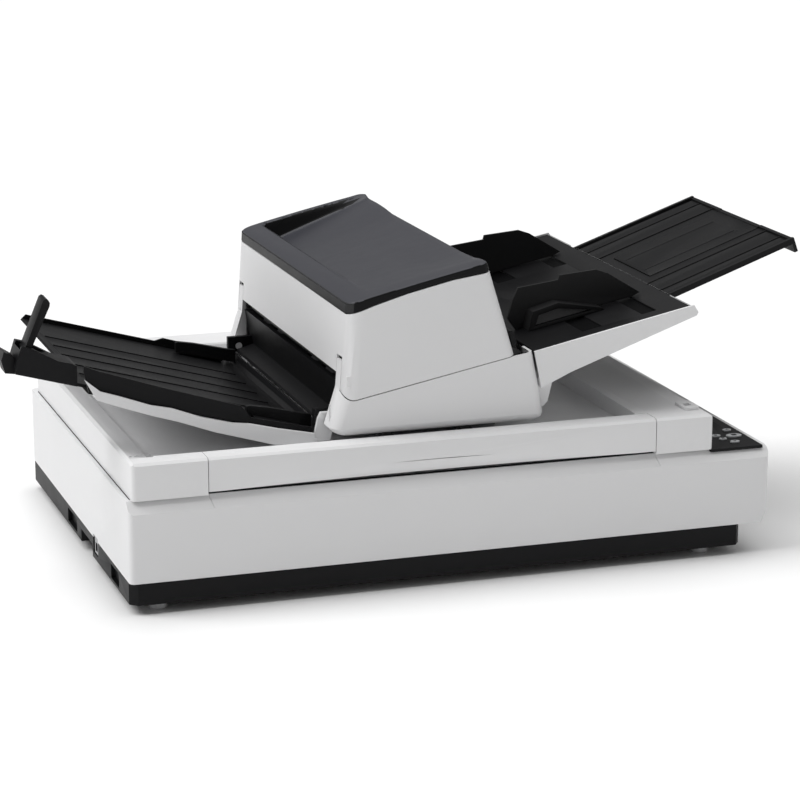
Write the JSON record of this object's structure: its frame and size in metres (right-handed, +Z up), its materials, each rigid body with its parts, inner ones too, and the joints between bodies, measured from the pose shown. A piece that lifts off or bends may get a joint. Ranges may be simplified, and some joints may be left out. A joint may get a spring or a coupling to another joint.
{
  "type": "document scanner",
  "caption": "Large-format flatbed scanner with a sliding sheet feeder on its lid, sloping input chute with side guides, and a sloping output stacker with a folding stop.",
  "frame": {"origin": "centre of the whole machine's footprint, on the plane its feet stand on", "axes": "+X to the operator's right along the machine's length, +Y to the back, +Z up"},
  "size_m": [0.8936, 0.5, 0.3328],
  "materials": {
    "white_plastic": "fine moulded texture",
    "charcoal_plastic": "satin moulded",
    "black_plastic": "satin moulded",
    "grey_plastic": "satin moulded",
    "key_plastic": "smooth satin",
    "roller_rubber": "matte",
    "foot_rubber": "matte",
    "plated_steel": "plated sheet",
    "board_green": "solder mask",
    "clear_glass": "polished",
    "dark_window": "gloss",
    "lamp_glass": "frosted",
    "pad_white": "matte sheet"
  },
  "bodies": {
    "base": {"bottom_pan": "black_plastic", "base_shell": "white_plastic", "flatbed_glass": "clear_glass", "foot_front_left": "foot_rubber", "foot_front_right": "foot_rubber", "foot_rear_left": "foot_rubber", "foot_rear_right": "foot_rubber", "guide_rod": "plated_steel", "idler_post": "plated_steel", "carriage_belt": "roller_rubber", "carriage_motor": "plated_steel", "main_board": "board_green", "power_supply": "plated_steel", "power_inlet": "black_plastic", "data_port": "plated_steel", "operator_panel": "black_plastic", "display_window": "dark_window", "hinge_block_left": "grey_plastic", "hinge_block_right": "grey_plastic"},
    "carriage": {"scan_carriage": "black_plastic", "carriage_lamp": "lamp_glass"},
    "drive_pulley": {"drive_pulley": "grey_plastic"},
    "idler_pulley": {"idler_pulley": "grey_plastic"},
    "key_stop": {"key_stop": "key_plastic"},
    "key_scan": {"key_scan": "key_plastic"},
    "key_up": {"key_up": "key_plastic"},
    "key_down": {"key_down": "key_plastic"},
    "key_menu": {"key_menu": "key_plastic"},
    "transport_lock": {"transport_lock": "grey_plastic"},
    "document_cover": {"cover_shell": "white_plastic", "cover_handle": "white_plastic", "document_pad": "pad_white"},
    "feeder": {"slide_sled": "grey_plastic", "feeder_base": "white_plastic", "lower_frame": "black_plastic", "lower_scan_unit": "dark_window", "feed_motor": "plated_steel", "chute_shell": "white_plastic"},
    "brake_roller": {"brake_roller": "roller_rubber"},
    "feed_roller": {"feed_roller": "roller_rubber"},
    "eject_roller": {"eject_roller": "roller_rubber"},
    "hopper_table": {"hopper_table": "black_plastic"},
    "hopper_guide_front": {"hopper_guide_front": "black_plastic"},
    "hopper_guide_rear": {"hopper_guide_rear": "black_plastic"},
    "chute_extension": {"chute_extension": "black_plastic"},
    "chute_extension_tip": {"chute_extension_tip": "black_plastic"},
    "feeder_top": {"top_shell": "white_plastic", "top_tray": "charcoal_plastic", "upper_frame": "black_plastic", "upper_scan_unit": "dark_window"},
    "pick_roller": {"pick_roller": "roller_rubber"},
    "feed_idler": {"feed_idler": "roller_rubber"},
    "eject_idler": {"eject_idler": "roller_rubber"},
    "release_lever": {"release_lever": "black_plastic"},
    "stacker": {"stacker_frame": "white_plastic", "stacker_tray": "black_plastic"},
    "stacker_guide_front": {"stacker_guide_front": "black_plastic"},
    "stacker_guide_rear": {"stacker_guide_rear": "black_plastic"},
    "stacker_extension": {"stacker_extension": "black_plastic"},
    "stacker_stopper": {"stacker_stopper": "black_plastic"}
  },
  "joints": [
    {"name": "carriage_slide", "type": "slide", "parent": "base", "child": "carriage", "axis": [1, 0, 0], "range_m": [0, 0.41]},
    {"name": "drive_pulley_spin", "type": "hinge", "parent": "base", "child": "drive_pulley", "pos_m": [0.1847, 0.158, 0.062], "axis": [0, 0, -1], "range_deg": [-5, 2960]},
    {"name": "idler_pulley_spin", "type": "hinge", "parent": "base", "child": "idler_pulley", "pos_m": [-0.3233, 0.158, 0.062], "axis": [0, 0, -1], "range_deg": [-5, 2960]},
    {"name": "key_stop_press", "type": "slide", "parent": "base", "child": "key_stop", "axis": [0, 0, -1], "range_m": [0, 0.0012], "stiffness_N_per_m": 600},
    {"name": "key_scan_press", "type": "slide", "parent": "base", "child": "key_scan", "axis": [0, 0, -1], "range_m": [0, 0.0012], "stiffness_N_per_m": 600},
    {"name": "key_up_press", "type": "slide", "parent": "base", "child": "key_up", "axis": [0, 0, -1], "range_m": [0, 0.0012], "stiffness_N_per_m": 600},
    {"name": "key_down_press", "type": "slide", "parent": "base", "child": "key_down", "axis": [0, 0, -1], "range_m": [0, 0.0012], "stiffness_N_per_m": 600},
    {"name": "key_menu_press", "type": "slide", "parent": "base", "child": "key_menu", "axis": [0, 0, -1], "range_m": [0, 0.0012], "stiffness_N_per_m": 600},
    {"name": "transport_lock_slide", "type": "slide", "parent": "base", "child": "transport_lock", "axis": [0, 1, 0], "range_m": [0, 0.005]},
    {"name": "cover_hinge", "type": "hinge", "parent": "base", "child": "document_cover", "pos_m": [0.0127, 0.2455, 0.1225], "axis": [-1, 0, 0], "range_deg": [0, 70]},
    {"name": "feeder_slide", "type": "slide", "parent": "document_cover", "child": "feeder", "axis": [1, 0, 0], "range_m": [-0.075, 0.1]},
    {"name": "brake_roller_spin", "type": "hinge", "parent": "feeder", "child": "brake_roller", "pos_m": [0.0577, 0, 0.20805], "axis": [0, 1, 0], "continuous": true},
    {"name": "feed_roller_spin", "type": "hinge", "parent": "feeder", "child": "feed_roller", "pos_m": [0.0207, 0, 0.20127], "axis": [0, 1, 0], "continuous": true},
    {"name": "eject_roller_spin", "type": "hinge", "parent": "feeder", "child": "eject_roller", "pos_m": [-0.0833, 0, 0.20052], "axis": [0, 1, 0], "continuous": true},
    {"name": "hopper_lift", "type": "hinge", "parent": "feeder", "child": "hopper_table", "pos_m": [0.2847, 0, 0.26697], "axis": [0, 1, 0], "range_deg": [0, 5]},
    {"name": "hopper_guide_front_slide", "type": "slide", "parent": "hopper_table", "child": "hopper_guide_front", "axis": [0, 1, 0], "range_m": [-0.03, 0.07]},
    {"name": "hopper_guide_rear_slide", "type": "slide", "parent": "hopper_table", "child": "hopper_guide_rear", "axis": [0, -1, 0], "range_m": [-0.03, 0.07]},
    {"name": "chute_extension_slide", "type": "slide", "parent": "feeder", "child": "chute_extension", "axis": [-0.942, 0, -0.3356], "range_m": [0, 0.055]},
    {"name": "chute_extension_tip_slide", "type": "slide", "parent": "chute_extension", "child": "chute_extension_tip", "axis": [0.942, 0, 0.3356], "range_m": [0, 0.09]},
    {"name": "feeder_top_hinge", "type": "hinge", "parent": "feeder", "child": "feeder_top", "pos_m": [-0.0928, 0, 0.2075], "axis": [0, -1, 0], "range_deg": [0, 38]},
    {"name": "pick_roller_spin", "type": "hinge", "parent": "feeder_top", "child": "pick_roller", "pos_m": [0.0647, 0, 0.22893], "axis": [0, 1, 0], "continuous": true},
    {"name": "feed_idler_spin", "type": "hinge", "parent": "feeder_top", "child": "feed_idler", "pos_m": [0.0207, 0, 0.21887], "axis": [0, 1, 0], "continuous": true},
    {"name": "eject_idler_spin", "type": "hinge", "parent": "feeder_top", "child": "eject_idler", "pos_m": [-0.0793, 0, 0.21782], "axis": [0, 1, 0], "continuous": true},
    {"name": "release_lever_pull", "type": "hinge", "parent": "feeder_top", "child": "release_lever", "pos_m": [0.0832, 0, 0.255], "axis": [0, 1, 0], "range_deg": [-12, 0], "stiffness_Nm_per_rad": 0.3},
    {"name": "stacker_tilt", "type": "hinge", "parent": "feeder", "child": "stacker", "pos_m": [-0.1113, 0, 0.17], "axis": [0, 1, 0], "range_deg": [0, 30]},
    {"name": "stacker_guide_front_slide", "type": "slide", "parent": "stacker", "child": "stacker_guide_front", "axis": [0, 1, 0], "range_m": [-0.007, 0.08]},
    {"name": "stacker_guide_rear_slide", "type": "slide", "parent": "stacker", "child": "stacker_guide_rear", "axis": [0, -1, 0], "range_m": [-0.007, 0.08]},
    {"name": "stacker_extension_slide", "type": "slide", "parent": "stacker", "child": "stacker_extension", "axis": [0.963, 0, -0.2696], "range_m": [0, 0.07]},
    {"name": "stacker_stopper_fold", "type": "hinge", "parent": "stacker_extension", "child": "stacker_stopper", "pos_m": [-0.4207, -0.15, 0.2626], "axis": [0, 1, 0], "range_deg": [0, 60]}
  ],
  "couplings": [
    {"joint": "drive_pulley_spin", "follows": "carriage_slide", "rad_per_m": 125},
    {"joint": "idler_pulley_spin", "follows": "carriage_slide", "rad_per_m": 125}
  ]
}
